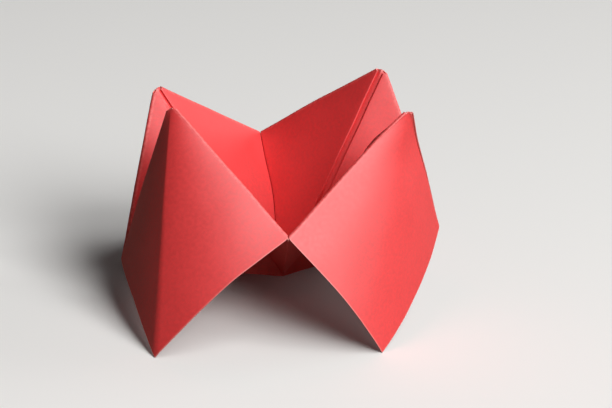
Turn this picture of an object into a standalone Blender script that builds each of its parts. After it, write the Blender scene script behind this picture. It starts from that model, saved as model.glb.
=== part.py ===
"""Paper fortune teller, folded from one square sheet and standing open on its four corners.

The sheet's corners are folded to its centre, it is turned over, and the new corners are
folded to the centre again. Opened out, it has four tips round a mouth and a finger pocket
behind each tip. The sheet's middle surface is laid out fold by fold as one open mesh, and
one thickness of paper is put on it, so the part is one solid with its layers apart.

Lengths are in metres and +Z is up. The origin is at the bottom centre of the part's box.
"""

import math

import bmesh
import bpy
from mathutils import Vector

# The sheet of paper
SHEET_SIDE = 0.150
PAPER_THICKNESS = 0.00018
LAYER_PITCH = 0.00028
PAPER_COLOUR = (0.80, 0.045, 0.040, 1.0)
PAPER_ROUGHNESS = 0.62

# How far the first corners and the second corners stop short of the sheet's centre
FIRST_SHORT = 0.0002
SECOND_SHORT = 0.00106

# Openings in the middle surface: where four folds meet at a tip, where two folds meet
# beside the keel, where a flap's raw edge starts at a notch, and between raw edges in a
# valley. The ring round the keel is where the lowest layer's eight facets are divided.
TIP_RELIEF = 0.00035
KEEL_RELIEF = 0.0006
NOTCH_RELIEF = 0.0006
RAW_EDGE_GAP = 0.00015
KEEL_RING = 0.0009
WELD_DISTANCE = 0.000002

# How the model is opened. Notches are the four low points between neighbouring tips,
# seen from the keel: heading in the plane of the floor, from +X towards +Y, and rise.
KEEL_HEIGHT = 0.0032
NOTCH_NAMES = ("front", "right", "back", "left")
NOTCH_HEADING_DEGREES = {"front": -89.0, "right": 11.0, "back": 109.0, "left": 195.5}
NOTCH_RISE_DEGREES = {"front": 38.0, "right": 23.0, "back": 43.0, "left": 11.0}

# Each pocket lies between two notches. Its outer flap runs from its tip to a corner on the
# floor. Heading says which way that corner lies from the tip, and reach is its distance
# as a share of the flap's diagonal. A bow is the angle by which the middle of half a flap
# is rounded out, seen from the tip, for the half by the first and the second notch.
POCKETS = {
    "front_left": ("left", "front"),
    "front_right": ("front", "right"),
    "back_right": ("right", "back"),
    "back_left": ("back", "left"),
}
FOOT_HEADING_DEGREES = {
    "front_left": 274.5,
    "front_right": 268.0,
    "back_right": 106.0,
    "back_left": 92.5,
}
FOOT_REACH_SHARES = {"front_left": 1.0, "front_right": 0.98, "back_right": 1.01, "back_left": 0.985}
FLAP_BOW_DEGREES = {
    "front_left": (1.7, 4.3),
    "front_right": (5.7, 2.0),
    "back_right": (2.9, 2.9),
    "back_left": (2.9, 2.3),
}
RAW_EDGE_BOW_SHARES = {
    "front_left": (0.0, 0.02),
    "front_right": (0.0, 0.0),
    "back_right": (0.0, 0.0),
    "back_left": (0.0, 0.0),
}

# Mesh fineness
FLAP_STEPS = 9
FOLD_STEPS = 4

# Sizes that follow from the sheet. The cell is one of the four squares that meet at the
# keel, and the lap is half of what the second corners stop short by.
LAP = SECOND_SHORT / 2.0
CELL = SHEET_SIDE / 4.0 + FIRST_SHORT / 2.0 + LAP
UPPER_LAYER = 2.0 * LAYER_PITCH
WRAP_RADIUS = 1.5 * LAYER_PITCH

# Half a flap turns through an eighth of a circle about its tip
HALF_FLAP_ANGLE = math.pi / 4.0


def clear_scene():
    """Remove every object that is in the scene."""
    for old in list(bpy.data.objects):
        bpy.data.objects.remove(old, do_unlink=True)


def paper_material():
    """A matt red paper."""
    material = bpy.data.materials.new("red_paper")
    material.use_nodes = True
    shader = material.node_tree.nodes["Principled BSDF"]
    shader.inputs["Base Color"].default_value = PAPER_COLOUR
    shader.inputs["Roughness"].default_value = PAPER_ROUGHNESS
    shader.inputs["Metallic"].default_value = 0.0
    material.diffuse_color = PAPER_COLOUR
    return material


def heading_vector(heading_degrees, rise_degrees=0.0):
    """Unit vector with this heading and this rise above the floor."""
    heading = math.radians(heading_degrees)
    rise = math.radians(rise_degrees)
    flat = math.cos(rise)
    return Vector((flat * math.cos(heading), flat * math.sin(heading), math.sin(rise)))


def tip_between(keel, first_notch, second_notch):
    """Far corner of the square cell that has these corners and is creased along its diagonal."""
    first = first_notch - keel
    second = second_notch - keel
    spread = first.angle(second)
    along = (first + second) / (1.0 + math.cos(spread))
    normal = first.cross(second).normalized()
    if normal.z < 0.0:
        normal = -normal
    height = CELL * math.sqrt(2.0 * math.cos(spread) / (1.0 + math.cos(spread)))
    return keel + along + normal * height


class Sector:
    """Half of a cell, the flat triangle from the keel to a notch and a tip.

    A place in it is given by s, from the notch towards the keel, w, from the notch towards
    the tip, and h, the height above the sheet's lowest layer on the side of the mouth.
    """

    def __init__(self, keel, notch, tip, across):
        self.notch = notch
        self.to_keel = (keel - notch).normalized()
        self.to_tip = (tip - notch).normalized()
        self.to_mouth = self.to_keel.cross(self.to_tip).normalized()
        if (across - notch).dot(self.to_mouth) > 0.0:
            self.to_mouth = -self.to_mouth
        self.mitre = 0.0

    def at(self, s, w, h):
        """Place in the model of a place in the sector."""
        return self.notch + s * self.to_keel + w * self.to_tip + h * self.to_mouth

    def direction(self, s, w, h):
        """Direction in the model of a direction in the sector."""
        return (s * self.to_keel + w * self.to_tip + h * self.to_mouth).normalized()

    def face_valley(self, neighbour):
        """Set how much a layer stands off the valley for each height above the lowest."""
        opening = self.to_tip.angle(neighbour.to_tip)
        self.mitre = 1.0 / math.tan(opening / 2.0)


class Pocket:
    """One tip with the two sectors on its mouth side and the curved flap on its outer side."""

    def __init__(self, name, keel, notches, tip):
        self.name = name
        self.keel = keel
        self.tip = tip
        self.sectors = (
            Sector(keel, notches[0], tip, notches[1]),
            Sector(keel, notches[1], tip, notches[0]),
        )
        self.flap_side = CELL - FIRST_SHORT
        self.foot_reach = math.sqrt(2.0) * self.flap_side * FOOT_REACH_SHARES[name]
        level = math.sqrt(self.foot_reach ** 2 - tip.z ** 2)
        foot = tip + level * heading_vector(FOOT_HEADING_DEGREES[name])
        foot.z = 0.0
        self.to_foot = (foot - tip).normalized()
        self.to_notch = [-sector.to_tip for sector in self.sectors]
        self.wrap_offsets = [self.wrap_offset(side) for side in (0, 1)]

    def flap_direction(self, side, turn):
        """Direction from the tip to the flap at a turn from 0, at the notch, to 1, at the foot."""
        start = self.to_notch[side]
        end = self.to_foot
        outward = start.cross(end).normalized()
        if outward.dot(self.keel - self.tip) > 0.0:
            outward = -outward
        angle = start.angle(end)
        level = math.sin((1.0 - turn) * angle) * start + math.sin(turn * angle) * end
        level /= math.sin(angle)
        bow_angle = math.radians(FLAP_BOW_DEGREES[self.name][side])
        bow = 4.0 * turn * (1.0 - turn) * math.tan(bow_angle)
        return (level + bow * outward).normalized()

    def flap_lead(self, side):
        """Direction in which the flap leaves the folded edge, square to that edge."""
        small_turn = 1e-4
        change = self.flap_direction(side, small_turn) - self.flap_direction(side, 0.0)
        return change.normalized()

    def wrap_offset(self, side):
        """From the edge of the lowest layer to where the flap leaves the fold that wraps it."""
        sector = self.sectors[side]
        lead = self.flap_lead(side)
        angle = math.atan2(-lead.dot(sector.to_mouth), lead.dot(sector.to_keel))
        s = -WRAP_RADIUS * math.sin(angle)
        h = LAYER_PITCH / 2.0 - WRAP_RADIUS * math.cos(angle)
        return s * sector.to_keel + h * sector.to_mouth

    def flap_point(self, side, turn, radius):
        """Place on the flap at this turn and this distance from the tip."""
        offset = (1.0 - turn) ** 2 * self.wrap_offsets[side]
        return self.tip + radius * self.flap_direction(side, turn) + offset

    def outer_radius(self, side, turn):
        """Distance from the tip to the flap's raw edge."""
        if turn == 0.0:
            sector = self.sectors[side]
            return CELL - raw_stand_off(sector, self.wrap_offsets[side].dot(sector.to_mouth))
        reach = 1.0 + (FOOT_REACH_SHARES[self.name] - 1.0) * turn
        bow = 1.0 - 4.0 * turn * (1.0 - turn) * RAW_EDGE_BOW_SHARES[self.name][side]
        return self.flap_side / math.cos(turn * HALF_FLAP_ANGLE) * reach * bow


def relief_turn():
    """Turn at which the tip fold starts, past the opening where the folds meet."""
    step = TIP_RELIEF / math.sqrt(2.0)
    return math.atan2(step, SECOND_SHORT - step) / HALF_FLAP_ANGLE


def tip_fold_radius(turn):
    """Distance from the tip to the fold across it."""
    angle = turn * HALF_FLAP_ANGLE
    return SECOND_SHORT / (math.cos(angle) + math.sin(angle))


def inner_radius(turn):
    """Distance from the tip to the flap's inner edge: the relief and then the tip fold."""
    start = relief_turn()
    if turn >= start:
        return tip_fold_radius(turn)
    # The relief runs straight from the folded edge to the start of the tip fold
    end_angle = start * HALF_FLAP_ANGLE
    end_radius = tip_fold_radius(start)
    first = Vector((SECOND_SHORT + TIP_RELIEF, 0.0))
    last = Vector((end_radius * math.cos(end_angle), end_radius * math.sin(end_angle)))
    angle = turn * HALF_FLAP_ANGLE
    across = Vector((-math.sin(angle), math.cos(angle)))
    share = -first.dot(across) / (last - first).dot(across)
    return (first + share * (last - first)).length


def flap_turns():
    """Turns from the folded edge to the foot, with the start of the tip fold among them."""
    turns = [step / FLAP_STEPS for step in range(FLAP_STEPS + 1)]
    turns.insert(1, NOTCH_RELIEF / CELL / HALF_FLAP_ANGLE)
    start = relief_turn()
    nearest = min(range(2, FLAP_STEPS), key=lambda index: abs(turns[index] - start))
    turns[nearest] = start
    return turns


def tip_turns():
    """Turns along the tip fold, from its start to the foot's line."""
    return [turn for turn in flap_turns() if turn >= relief_turn()]


class SheetMesh:
    """Middle surface of the folded sheet, laid patch by patch and then welded."""

    def __init__(self):
        self.mesh = bmesh.new()

    def face(self, points):
        """One flat patch."""
        self.mesh.faces.new([self.mesh.verts.new(point) for point in points])

    def strip(self, first_row, second_row):
        """Quads between two rows with as many points."""
        for index in range(len(first_row) - 1):
            self.face((first_row[index], first_row[index + 1], second_row[index + 1], second_row[index]))

    def finish(self):
        """Weld the patches and turn their faces the same way."""
        bmesh.ops.remove_doubles(self.mesh, verts=self.mesh.verts, dist=WELD_DISTANCE)
        bmesh.ops.recalc_face_normals(self.mesh, faces=self.mesh.faces)


def fold_curve(start, start_lead, end, end_lead):
    """Points of a round bend that leaves both ends in the given directions."""
    chord = (end - start).length
    turn = start_lead.angle(-end_lead)
    radius = chord / (2.0 * math.sin(turn / 2.0))
    handle = 4.0 / 3.0 * math.tan(turn / 4.0) * radius
    first = start + handle * start_lead
    second = end + handle * end_lead
    points = []
    for step in range(FOLD_STEPS + 1):
        t = step / FOLD_STEPS
        u = 1.0 - t
        near_start = u ** 3 * start + 3.0 * u * u * t * first
        near_end = 3.0 * u * t * t * second + t ** 3 * end
        points.append(near_start + near_end)
    return points


def bend_section(width, height, start_lead, end_lead):
    """Points of a round bend across a fold, from the origin to this width and height."""
    start = Vector((0.0, 0.0, 0.0))
    end = Vector((width, height, 0.0))
    return fold_curve(start, Vector((*start_lead, 0.0)), end, Vector((*end_lead, 0.0)))


def raw_stand_off(sector, height):
    """How far a raw edge at this height above the lowest layer stays off the valley."""
    valley_side = (height + PAPER_THICKNESS / 2.0) * sector.mitre + RAW_EDGE_GAP
    return max(FIRST_SHORT, valley_side)


def tip_fold_point(sector, turn):
    """Place on the lowest layer where the fold across the tip starts."""
    angle = turn * HALF_FLAP_ANGLE
    radius = tip_fold_radius(turn)
    return sector.at(radius * math.sin(angle), CELL - radius * math.cos(angle), 0.0)


def lay_low_layer(sheet, sector):
    """Lowest layer, from the keel out to the folded edge, the tip fold and the ridge."""
    edge_end = CELL - SECOND_SHORT - TIP_RELIEF
    ring_side = KEEL_RING / math.sqrt(2.0)
    valley_ring = sector.at(CELL - KEEL_RING, 0.0, 0.0)
    ridge_ring = sector.at(CELL - ring_side, ring_side, 0.0)
    sheet.face((sector.at(CELL, 0.0, 0.0), ridge_ring, valley_ring))
    facet = [sector.at(0.0, 0.0, 0.0), valley_ring, ridge_ring]
    facet += [tip_fold_point(sector, turn) for turn in reversed(tip_turns())]
    facet.append(sector.at(0.0, edge_end, 0.0))
    sheet.face(facet)


def lay_inner_edge(sheet, sector):
    """Hairpin from the lowest layer to the middle one, mitred where it crosses the valley."""
    edge_end = CELL - SECOND_SHORT - TIP_RELIEF
    rows = []
    for point in bend_section(0.0, LAYER_PITCH, (-1.0, 0.0), (-1.0, 0.0)):
        ends = (point.y * sector.mitre, edge_end)
        rows.append([sector.at(point.x, w, point.y) for w in ends])
    for first, second in zip(rows, rows[1:]):
        sheet.strip(first, second)


def lay_upper_layers(sheet, sector):
    """Middle layer, which goes on across the valley, and upper layer with the hairpin between."""
    fold_line = CELL - SECOND_SHORT
    edge_end = fold_line - TIP_RELIEF
    relief = TIP_RELIEF / math.sqrt(2.0)
    middle = LAYER_PITCH
    stand_off = middle * sector.mitre
    fold_start = stand_off + KEEL_RELIEF

    # Each row of the hairpin runs beside the ridge from its raw end to the tip relief
    rows = []
    for point in bend_section(0.0, LAYER_PITCH, (1.0, 0.0), (1.0, 0.0)):
        side_step = point.x / math.sqrt(2.0)
        height = middle + point.y
        start = max(fold_start, raw_stand_off(sector, height))
        rows.append([
            sector.at(fold_line - w + side_step, w + side_step, height)
            for w in (start, fold_line - relief)
        ])
    for first, second in zip(rows, rows[1:]):
        sheet.strip(first, second)

    middle_start = max(fold_start, raw_stand_off(sector, middle))
    sheet.face((
        sector.at(0.0, stand_off, middle),
        sector.at(fold_line - middle_start, stand_off, middle),
        rows[0][0],
        rows[0][1],
        sector.at(0.0, edge_end, middle),
    ))
    raw_edge = raw_stand_off(sector, UPPER_LAYER)
    upper = [
        sector.at(0.0, raw_edge, UPPER_LAYER),
        rows[-1][0],
        rows[-1][1],
        sector.at(0.0, edge_end, UPPER_LAYER),
    ]
    if fold_start > raw_edge:
        upper.insert(1, sector.at(fold_line - fold_start, raw_edge, UPPER_LAYER))
    sheet.face(upper)


def lay_outer_edge(sheet, pocket, side):
    """Fold that wraps the inner hairpin and leads from the upper layer into the outer flap."""
    sector = pocket.sectors[side]
    edge_end = CELL - SECOND_SHORT - TIP_RELIEF
    offset = pocket.wrap_offsets[side]
    lead = pocket.flap_lead(side)
    width = offset.dot(sector.to_keel)
    height = offset.dot(sector.to_mouth) - UPPER_LAYER
    leave = (-lead.dot(sector.to_keel), -lead.dot(sector.to_mouth))
    rows = []
    for point in bend_section(width, height, (-1.0, 0.0), leave):
        level = UPPER_LAYER + point.y
        rows.append([sector.at(point.x, w, level) for w in (raw_stand_off(sector, level), edge_end)])
    for first, second in zip(rows, rows[1:]):
        sheet.strip(first, second)


def lay_sector(sheet, pocket, side):
    """The three layers on the mouth side of a sector and the folds that join them."""
    sector = pocket.sectors[side]
    lay_low_layer(sheet, sector)
    lay_inner_edge(sheet, sector)
    lay_upper_layers(sheet, sector)
    lay_outer_edge(sheet, pocket, side)


def lay_flap(sheet, pocket, side):
    """Half of the outer flap, from its folded edge to the line of its foot."""
    turns = flap_turns()
    inner = [pocket.flap_point(side, turn, inner_radius(turn)) for turn in turns]
    outer = [pocket.flap_point(side, turn, pocket.outer_radius(side, turn)) for turn in turns]
    sheet.strip(inner, outer)


def lay_tip(sheet, pocket, side):
    """Half of the short fold across the tip, from the lowest layer to the flap."""
    sector = pocket.sectors[side]
    low_lead = (pocket.tip - pocket.keel).normalized()
    columns = []
    for turn in tip_turns():
        low = tip_fold_point(sector, turn)
        flap = pocket.flap_point(side, turn, tip_fold_radius(turn))
        columns.append(fold_curve(low, low_lead, flap, -pocket.to_foot))
    for first, second in zip(columns, columns[1:]):
        sheet.strip(first, second)


def open_model():
    """The four pockets, in the places that the notch angles give them."""
    keel = Vector((0.0, 0.0, KEEL_HEIGHT))
    notches = {
        name: keel + CELL * heading_vector(NOTCH_HEADING_DEGREES[name], NOTCH_RISE_DEGREES[name])
        for name in NOTCH_NAMES
    }
    pockets = []
    for name, (first, second) in POCKETS.items():
        tip = tip_between(keel, notches[first], notches[second])
        pockets.append(Pocket(name, keel, (notches[first], notches[second]), tip))
    for index, pocket in enumerate(pockets):
        following = pockets[(index + 1) % len(pockets)]
        pocket.sectors[1].face_valley(following.sectors[0])
        following.sectors[0].face_valley(pocket.sectors[1])
    return pockets


def fold_sheet():
    """Middle surface of the whole sheet as a mesh object."""
    sheet = SheetMesh()
    for pocket in open_model():
        for side in (0, 1):
            lay_sector(sheet, pocket, side)
            lay_flap(sheet, pocket, side)
            lay_tip(sheet, pocket, side)
    sheet.finish()
    mesh = bpy.data.meshes.new("folded_sheet")
    sheet.mesh.to_mesh(mesh)
    sheet.mesh.free()
    folded = bpy.data.objects.new("folded_sheet", mesh)
    bpy.context.scene.collection.objects.link(folded)
    return folded


def thicken(folded):
    """One thickness of paper, half on each side of the middle surface."""
    wall = folded.modifiers.new("paper_thickness", "SOLIDIFY")
    wall.solidify_mode = "NON_MANIFOLD"
    wall.nonmanifold_thickness_mode = "CONSTRAINTS"
    wall.nonmanifold_boundary_mode = "NONE"
    wall.nonmanifold_merge_threshold = WELD_DISTANCE
    wall.thickness = PAPER_THICKNESS
    wall.offset = 0.0
    wall.use_rim = True


def stand_on_floor(folded):
    """Put the bottom centre of the part's box at the origin."""
    bpy.context.view_layer.update()
    evaluated = folded.evaluated_get(bpy.context.evaluated_depsgraph_get())
    corners = [Vector(corner) for corner in evaluated.bound_box]
    low = Vector([min(corner[axis] for corner in corners) for axis in range(3)])
    high = Vector([max(corner[axis] for corner in corners) for axis in range(3)])
    shift = Vector((-(low.x + high.x) / 2.0, -(low.y + high.y) / 2.0, -low.z))
    for vertex in folded.data.vertices:
        vertex.co += shift


def main():
    """Build the part."""
    clear_scene()
    folded = fold_sheet()
    folded.data.materials.append(paper_material())
    thicken(folded)
    stand_on_floor(folded)


main()
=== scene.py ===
"""Looks of a paper fortune teller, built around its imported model.

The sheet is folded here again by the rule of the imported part, in finer steps, with round
creases in its flaps and a few bows fitted more closely. Every point also keeps its place on
the flat sheet as a UV map, so the paper's grain and the wear of its folds follow the sheet.
Lengths are in metres.
"""

import math

import bmesh
import bpy
from bpy.props import (
    FloatProperty,
    FloatVectorProperty,
    IntProperty,
    PointerProperty,
)
from mathutils import Matrix, Vector


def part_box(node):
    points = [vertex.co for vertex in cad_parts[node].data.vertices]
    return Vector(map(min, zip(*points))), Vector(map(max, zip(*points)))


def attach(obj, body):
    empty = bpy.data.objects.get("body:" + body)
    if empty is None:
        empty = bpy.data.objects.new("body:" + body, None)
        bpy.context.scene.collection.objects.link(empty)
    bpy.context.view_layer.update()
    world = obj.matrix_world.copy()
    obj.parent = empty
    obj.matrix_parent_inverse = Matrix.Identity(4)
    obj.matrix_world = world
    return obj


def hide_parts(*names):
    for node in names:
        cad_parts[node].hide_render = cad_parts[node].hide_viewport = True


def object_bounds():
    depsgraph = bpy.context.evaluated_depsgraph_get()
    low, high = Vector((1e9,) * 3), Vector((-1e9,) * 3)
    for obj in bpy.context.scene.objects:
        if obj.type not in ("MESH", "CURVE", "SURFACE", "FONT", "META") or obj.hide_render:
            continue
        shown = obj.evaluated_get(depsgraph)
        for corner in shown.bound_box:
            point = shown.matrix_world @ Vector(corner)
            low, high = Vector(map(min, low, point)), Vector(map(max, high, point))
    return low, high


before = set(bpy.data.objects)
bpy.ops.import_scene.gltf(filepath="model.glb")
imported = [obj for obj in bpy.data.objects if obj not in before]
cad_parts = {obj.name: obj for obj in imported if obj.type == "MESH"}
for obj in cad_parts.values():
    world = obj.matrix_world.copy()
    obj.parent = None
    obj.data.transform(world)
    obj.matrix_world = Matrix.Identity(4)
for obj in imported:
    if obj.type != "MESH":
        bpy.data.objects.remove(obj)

bl_info = {
    "name": "Paper fortune teller",
    "version": (1, 0, 0),
    "blender": (4, 5, 0),
    "location": "3D View > Sidebar > Fortune teller",
    "description": "Folds a square sheet into an open fortune teller and sets its stage",
    "category": "Add Mesh",
}

CAD_NODE = "folded_sheet"
CAD_LOW, CAD_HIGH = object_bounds()
FLAT_MAP = "flat_sheet"
CUT_EDGE = "cut_edge"
EIGHTH_TURN = math.pi / 4.0
ROOT_HALF = math.sqrt(0.5)

# Radius of the fold round the hairpin, in layer distances
WRAP_LAYERS = 1.5
# Welding distance as a share of the raw edge gap, and a long fold as a share of the sheet
WELD_SHARE = 0.02
LONG_FOLD_SHARE = 0.1
# Steps towards a flap's middle crease, as shares of its width
CREASE_STEP_SHARES = (0.75, 0.5, 0.25)
# Edges that turn by more than this stay sharp
SHARP_ANGLE = math.radians(50.0)

# Look of the paper: pairs of levels are where a pattern starts and where it is full
CLOUD_GRAINS = 9.0
FIBRE_TURNS = (0.35, 1.45, 2.5)
FIBRE_LEVELS = (0.55, 0.8)
GRAIN_LEVELS = (0.30, 0.70)
CLOUD_LEVELS = (0.40, 0.75)
# Levels of the rubbed folds, which are partly wear and partly a painted highlight along each fold
FOLD_WEAR_AND_HIGHLIGHT_LEVELS = (0.30, 0.72)
DARK_SHARE = 0.86
PALE_SHARES = (1.06, 1.7, 1.7)
FIBRE_SHARE = 0.30
CLOUD_SHARE = 0.25
# Share of the rubbed folds, wear together with a painted highlight along each fold
FOLD_WEAR_AND_HIGHLIGHT_SHARE = 0.75
# Share of the frayed rim, fray together with a painted highlight along the cut edge
FRAY_AND_HIGHLIGHT_SHARE = 0.7
NOTCH_SPOT_SHARE = 0.95
TIP_SPOT_SHARE = 0.5
GRAIN_RELIEF_SHARE = 0.6
FIBRE_RELIEF_SHARE = 0.4
ROUGHNESS_RANGE = (0.58, 0.64)

# Camera film width in millimetres, and where its view starts
SENSOR_WIDTH = 36.0
CLIP_START = 0.01

# Where the real sheet bends softly off the plain fold: name, what happens, place, push, reach
SOFT_PUSHES = (
    ("Keel", "the keel is pushed up", (0.0, 0.0, 0.0032), (0.0, 0.0, 0.0013), 0.012),
    ("Valley", "the back valley is pushed aside", (-0.0054, 0.0158, 0.0188), (0.0009, 0.0, 0.0), 0.009),
    ("Wall", "the front right pocket's wall bulges", (0.01952, -0.00786, 0.03948),
     (-0.0018, 0.00085, 0.00112), 0.007),
    ("Front", "the front notch hangs lower", (0.0005, -0.0300, 0.0267), (0.0002, 0.0, -0.0011), 0.011),
    ("Back", "the back notch hangs lower", (-0.0091, 0.0264, 0.0292), (0.0005, 0.0, -0.00025), 0.011),
    ("Right", "the right notch hangs lower", (0.0344, 0.0067, 0.0181), (0.0, 0.0, -0.0012), 0.010),
    ("Left", "the left notch hangs lower", (-0.0361, -0.01, 0.0105), (0.0, 0.0, -0.0014), 0.010),
    ("Right Tip", "the front right tip stands higher", (0.0241, -0.0114, 0.0501),
     (0.0004, 0.0, 0.0007), 0.012),
    ("Left Tip", "the front left tip stands higher", (-0.0274, -0.0144, 0.0474),
     (0.0003, 0.0, 0.0006), 0.012),
)


def degrees(*values):
    """Angles in radians."""
    return tuple(math.radians(value) for value in values)


class FoldSettings(bpy.types.PropertyGroup):
    """Sizes of the sheet, of its folds and of the way it stands open."""

    sheet_side: FloatProperty(
        name="Sheet side", description="Side of the square sheet", default=0.150, unit="LENGTH")
    thickness: FloatProperty(
        name="Thickness", description="Thickness of the paper", default=0.00018, unit="LENGTH")
    layer_pitch: FloatProperty(
        name="Layer pitch", description="Distance between the layers of a pocket",
        default=0.00028, unit="LENGTH")
    first_short: FloatProperty(
        name="First corners short", description="How far the first corners stop short of the centre",
        default=0.0002, unit="LENGTH")
    second_short: FloatProperty(
        name="Second corners short", description="How far the second corners stop short of the centre",
        default=0.00106, unit="LENGTH")
    tip_relief: FloatProperty(
        name="Tip relief", description="Opening where four folds meet at a tip",
        default=0.00035, unit="LENGTH")
    keel_relief: FloatProperty(
        name="Keel relief", description="Opening where two folds meet beside the keel",
        default=0.0006, unit="LENGTH")
    notch_relief: FloatProperty(
        name="Notch relief", description="Length over which a raw edge leaves its notch",
        default=0.0006, unit="LENGTH")
    raw_edge_gap: FloatProperty(
        name="Raw edge gap", description="Gap between raw edges in a valley",
        default=0.00015, unit="LENGTH")
    keel_height: FloatProperty(
        name="Keel height", description="Height of the sheet's centre above the floor",
        default=0.0032, unit="LENGTH")
    notch_headings: FloatVectorProperty(
        name="Notch headings", description="Way from the keel to the front, right, back and left notch",
        size=4, default=degrees(-89.0, 11.0, 109.0, 195.5), unit="ROTATION")
    notch_rises: FloatVectorProperty(
        name="Notch rises", description="Rise from the keel to the front, right, back and left notch",
        size=4, default=degrees(38.0, 23.0, 43.0, 11.0), unit="ROTATION")
    foot_headings: FloatVectorProperty(
        name="Foot headings",
        description="Way from a tip to its foot, for front left, front right, back right and back left",
        size=4, default=degrees(274.5, 268.0, 106.0, 92.5), unit="ROTATION")
    foot_reaches: FloatVectorProperty(
        name="Foot reaches", description="Distance from tip to foot as a share of the flap's diagonal",
        size=4, default=(1.0, 0.98, 1.01, 0.985))
    first_bows: FloatVectorProperty(
        name="First bows", description="Roundness of the half flap by the pocket's first notch",
        size=4, default=degrees(1.7, 3.3, 2.9, 2.9), unit="ROTATION")
    second_bows: FloatVectorProperty(
        name="Second bows", description="Roundness of the half flap by the pocket's second notch",
        size=4, default=degrees(4.3, 2.0, 2.9, 2.3), unit="ROTATION")
    first_edge_bows: FloatVectorProperty(
        name="First edge bows", description="How much the raw edge by the first notch is drawn in",
        size=4, default=(0.0, -0.013, 0.0, 0.0))
    second_edge_bows: FloatVectorProperty(
        name="Second edge bows", description="How much the raw edge by the second notch is drawn in",
        size=4, default=(0.005, 0.0, 0.0, 0.0))
    crease_widths: FloatVectorProperty(
        name="Crease widths", description="Half the width over which a flap's middle crease is round",
        size=4, default=(0.0012, 0.008, 0.0012, 0.0012), unit="LENGTH")
    flap_steps: IntProperty(
        name="Flap steps", description="Steps across half a flap", default=28, min=4)
    fold_steps: IntProperty(
        name="Fold steps", description="Steps round a fold", default=8, min=2)
    fold_parts: IntProperty(
        name="Fold parts", description="Parts that each long fold is divided into", default=22, min=1)
    longest_edge: FloatProperty(
        name="Longest edge", description="Edges of flat patches longer than this are halved",
        default=0.0026, unit="LENGTH")
    dividing_passes: IntProperty(
        name="Dividing passes", description="How many times long edges are halved", default=4, min=1)


class PaperSettings(bpy.types.PropertyGroup):
    """Colour, grain and waves of the paper, with painted highlights along its folds and cut edges."""

    colour: FloatVectorProperty(
        name="Paper", description="Colour of the paper", size=3, subtype="COLOR",
        default=(0.86, 0.020, 0.022), min=0.0, max=1.0)
    # Paler colour along the folds: partly wear, partly a painted highlight where a rounded fold catches
    # light
    fold_wear_and_highlight_colour: FloatVectorProperty(
        name="Worn fold", description="Colour of the paper where a fold is rubbed", size=3,
        subtype="COLOR", default=(0.90, 0.16, 0.15), min=0.0, max=1.0)
    # Paler colour of the cut edges: partly the paper's bare fibre, partly a painted highlight where a cut
    # edge catches light
    cut_edge_and_highlight_colour: FloatVectorProperty(
        name="Cut edge", description="Colour of the paper's cut edge", size=3,
        subtype="COLOR", default=(0.92, 0.26, 0.24), min=0.0, max=1.0)
    grain_size: FloatProperty(
        name="Grain", description="Size of the paper's mottling", default=0.0008, unit="LENGTH")
    fibre_width: FloatProperty(
        name="Fibre width", description="Width of the paper's fibres", default=0.00016, unit="LENGTH")
    fibre_length: FloatProperty(
        name="Fibre length", description="Length of the paper's fibres", default=0.0014, unit="LENGTH")
    # This width is also the width of the painted highlight along each fold
    wear_and_highlight_width: FloatProperty(
        name="Wear width", description="How far the wear of a fold reaches", default=0.00055,
        unit="LENGTH")
    # This width is also the width of the painted highlight beside each cut edge
    fray_and_highlight_width: FloatProperty(
        name="Fray width", description="How far the paler rim of a cut edge reaches", default=0.0003,
        unit="LENGTH")
    spot_core: FloatProperty(
        name="Spot core", description="How far a rubbed corner is palest", default=0.0004,
        unit="LENGTH")
    spot_reach: FloatProperty(
        name="Spot reach", description="How far a rubbed corner is pale at all", default=0.0016,
        unit="LENGTH")
    relief: FloatProperty(
        name="Relief", description="Height of the grain", default=0.000011, unit="LENGTH")
    wave_height: FloatProperty(
        name="Wave height", description="Height of the sheet's soft waves", default=0.00022,
        unit="LENGTH")
    wave_length: FloatProperty(
        name="Wave length", description="Length of the sheet's soft waves", default=0.013,
        unit="LENGTH")
    floor_fade: FloatProperty(
        name="Floor fade", description="Height below which the waves fade out", default=0.006,
        unit="LENGTH")
    seed: IntProperty(name="Seed", description="Seed of the waves", default=3)


def push_properties():
    """For each soft push a property for its place, its push and its reach."""
    properties = {}
    for name, what, place, push, reach in SOFT_PUSHES:
        key = name.lower().replace(" ", "_")
        properties[key + "_place"] = FloatVectorProperty(
            name=name + " place", description="Where " + what, size=3, subtype="TRANSLATION",
            default=place, unit="LENGTH")
        properties[key + "_push"] = FloatVectorProperty(
            name=name + " push", description="How far " + what, size=3, subtype="TRANSLATION",
            default=push, unit="LENGTH")
        properties[key + "_reach"] = FloatProperty(
            name=name + " reach", description="Over what distance " + what, default=reach,
            unit="LENGTH")
    return properties


class PushSettings(bpy.types.PropertyGroup):
    """Soft bends of the real sheet off the plain fold."""

    __annotations__ = push_properties()


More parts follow.
